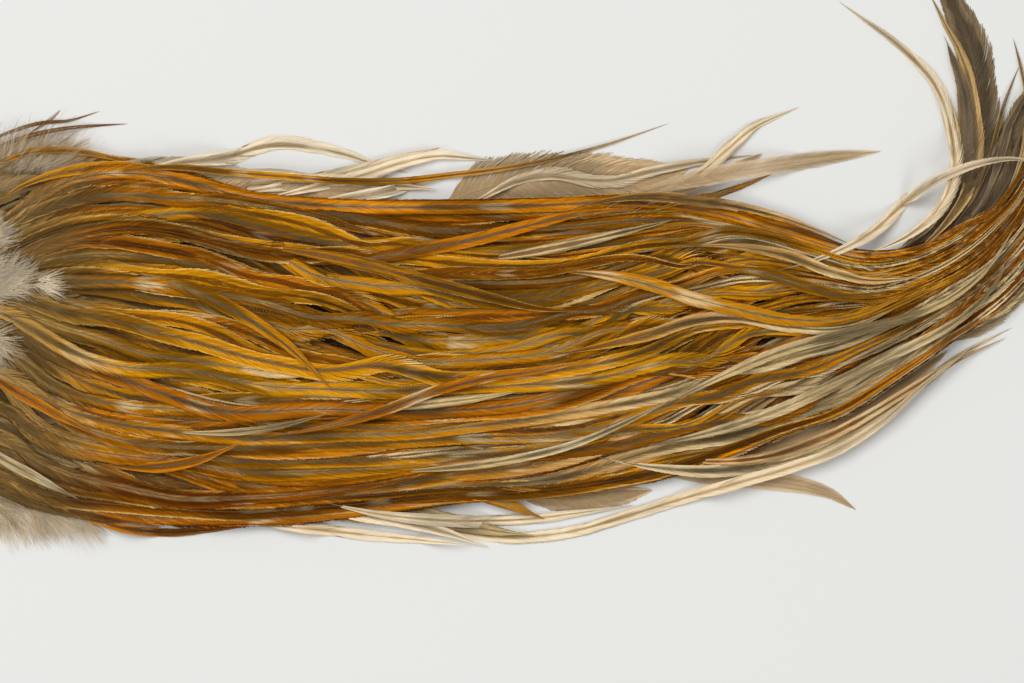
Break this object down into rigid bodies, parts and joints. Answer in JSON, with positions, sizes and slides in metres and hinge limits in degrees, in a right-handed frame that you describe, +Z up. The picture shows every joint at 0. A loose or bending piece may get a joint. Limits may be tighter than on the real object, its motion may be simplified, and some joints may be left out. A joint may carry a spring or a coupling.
{
  "type": "rooster saddle hackle",
  "caption": "Dried saddle patch of a rooster, lying flat, with long narrow golden and cream hackle feathers that curl up at their tips",
  "frame": {"origin": "a point on the flat underside of the skin, near its centre, where the object rests", "axes": "+X runs from the skin along the feathers to their tips, +Y across them, and +Z up from the surface"},
  "size_m": [0.3764, 0.1764, 0.0154],
  "materials": {
    "dried_skin": "dry, thin hide with a worn edge",
    "hackle_coat": "close feathers with a soft shine along them",
    "golden_hackle": "golden barbs beside a grey-brown web",
    "ginger_hackle": "orange-brown barbs beside a grey-brown web",
    "cream_hackle": "pale cream barbs beside a grey-brown web",
    "soft_grey_feather": "soft grey-brown barbs without shine",
    "down": "loose cream and grey fluff"
  },
  "bodies": {
    "root": {"broad_curl_feather_1": "soft_grey_feather", "broad_curl_feather_2": "soft_grey_feather", "broad_lower_feather_1": "soft_grey_feather", "broad_lower_feather_2": "soft_grey_feather", "broad_lower_feather_3": "soft_grey_feather", "broad_upper_feather": "soft_grey_feather", "crossing_hackle_1": "golden_hackle", "crossing_hackle_10": "cream_hackle", "crossing_hackle_11": "golden_hackle", "crossing_hackle_12": "cream_hackle", "crossing_hackle_13": "cream_hackle", "crossing_hackle_14": "ginger_hackle", "crossing_hackle_15": "soft_grey_feather", "crossing_hackle_16": "cream_hackle", "crossing_hackle_17": "cream_hackle", "crossing_hackle_2": "cream_hackle", "crossing_hackle_3": "ginger_hackle", "crossing_hackle_4": "ginger_hackle", "crossing_hackle_5": "cream_hackle", "crossing_hackle_6": "ginger_hackle", "crossing_hackle_7": "golden_hackle", "crossing_hackle_8": "cream_hackle", "crossing_hackle_9": "golden_hackle", "curl_stray_1": "cream_hackle", "curl_stray_2": "golden_hackle", "curl_stray_3": "ginger_hackle", "curl_stray_4": "ginger_hackle", "curl_stray_5": "ginger_hackle", "curl_stray_6": "cream_hackle", "curl_stray_7": "cream_hackle", "curl_stray_8": "cream_hackle", "hackle_coat": "hackle_coat", "lower_down": "down", "lower_edge_hackle_1": "cream_hackle", "lower_edge_hackle_2": "ginger_hackle", "lower_stray_1": "soft_grey_feather", "lower_stray_2": "cream_hackle", "lower_stray_3": "cream_hackle", "lower_stray_4": "cream_hackle", "lower_stray_5": "cream_hackle", "lower_stray_6": "golden_hackle", "lower_stray_7": "ginger_hackle", "shoulder_hackle_1": "ginger_hackle", "shoulder_hackle_2": "ginger_hackle", "shoulder_hackle_3": "ginger_hackle", "shoulder_hackle_4": "golden_hackle", "skin": "dried_skin", "upper_down": "down", "upper_edge_hackle": "ginger_hackle", "upper_stray_1": "cream_hackle", "upper_stray_10": "soft_grey_feather", "upper_stray_2": "cream_hackle", "upper_stray_3": "cream_hackle", "upper_stray_4": "cream_hackle", "upper_stray_5": "ginger_hackle", "upper_stray_6": "cream_hackle", "upper_stray_7": "cream_hackle", "upper_stray_8": "soft_grey_feather", "upper_stray_9": "ginger_hackle"}
  },
  "joints": []
}
